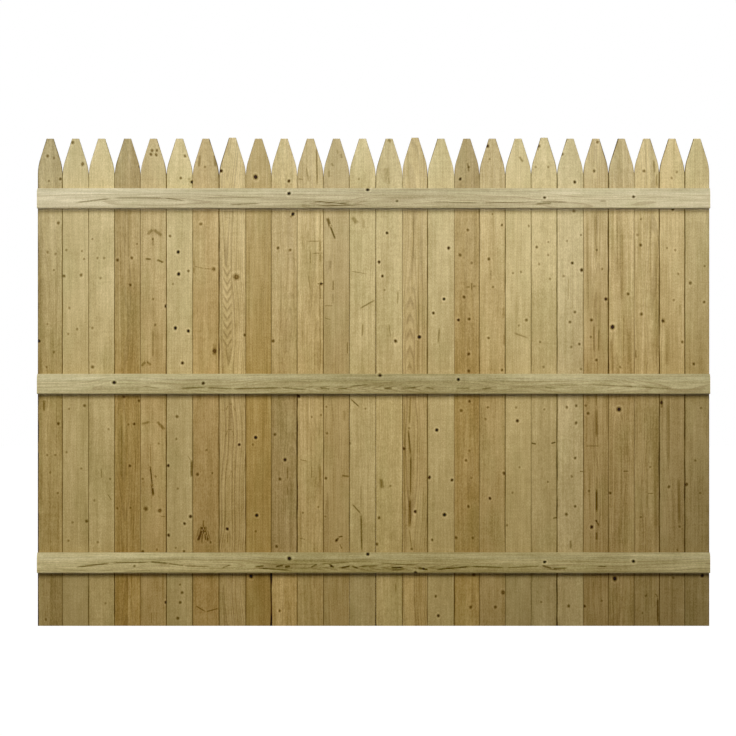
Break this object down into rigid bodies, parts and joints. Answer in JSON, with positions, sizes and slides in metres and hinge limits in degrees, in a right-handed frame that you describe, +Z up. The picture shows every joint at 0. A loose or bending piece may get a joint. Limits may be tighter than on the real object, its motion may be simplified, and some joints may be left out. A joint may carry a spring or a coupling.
{
  "type": "gothic wood fence panel",
  "caption": "Close-boarded garden fence panel: upright softwood pickets with blunt gothic heads, edge to edge, stapled to bevelled horizontal rails.",
  "frame": {"origin": "middle of the panel's footprint, level with the feet of the pickets", "axes": "+X along the rails, -Y out of the side with the rails, +Y out of the side with the pickets, +Z up"},
  "size_m": [2.4388, 0.0476, 1.7735],
  "materials": {
    "picket_pale": "sawn, pale green-yellow",
    "picket_honey": "sawn, honey",
    "picket_brown": "sawn, tan-brown with darker streaks",
    "rail_wood": "planed, pale, with a lengthwise grain",
    "galvanised_wire": "dull zinc"
  },
  "bodies": {
    "root": {"picket_01": "picket_brown", "picket_02": "picket_pale", "picket_03": "picket_pale", "picket_04": "picket_brown", "picket_05": "picket_honey", "picket_06": "picket_pale", "picket_07": "picket_honey", "picket_08": "picket_pale", "picket_09": "picket_honey", "picket_10": "picket_honey", "picket_11": "picket_pale", "picket_12": "picket_pale", "picket_13": "picket_pale", "picket_14": "picket_pale", "picket_15": "picket_brown", "picket_16": "picket_honey", "picket_17": "picket_brown", "picket_18": "picket_honey", "picket_19": "picket_pale", "picket_20": "picket_pale", "picket_21": "picket_pale", "picket_22": "picket_brown", "picket_23": "picket_brown", "picket_24": "picket_honey", "picket_25": "picket_pale", "picket_26": "picket_brown", "rail_top": "rail_wood", "rail_middle": "rail_wood", "rail_bottom": "rail_wood", "staples_top": "galvanised_wire", "staples_middle": "galvanised_wire", "staples_bottom": "galvanised_wire"}
  },
  "joints": []
}
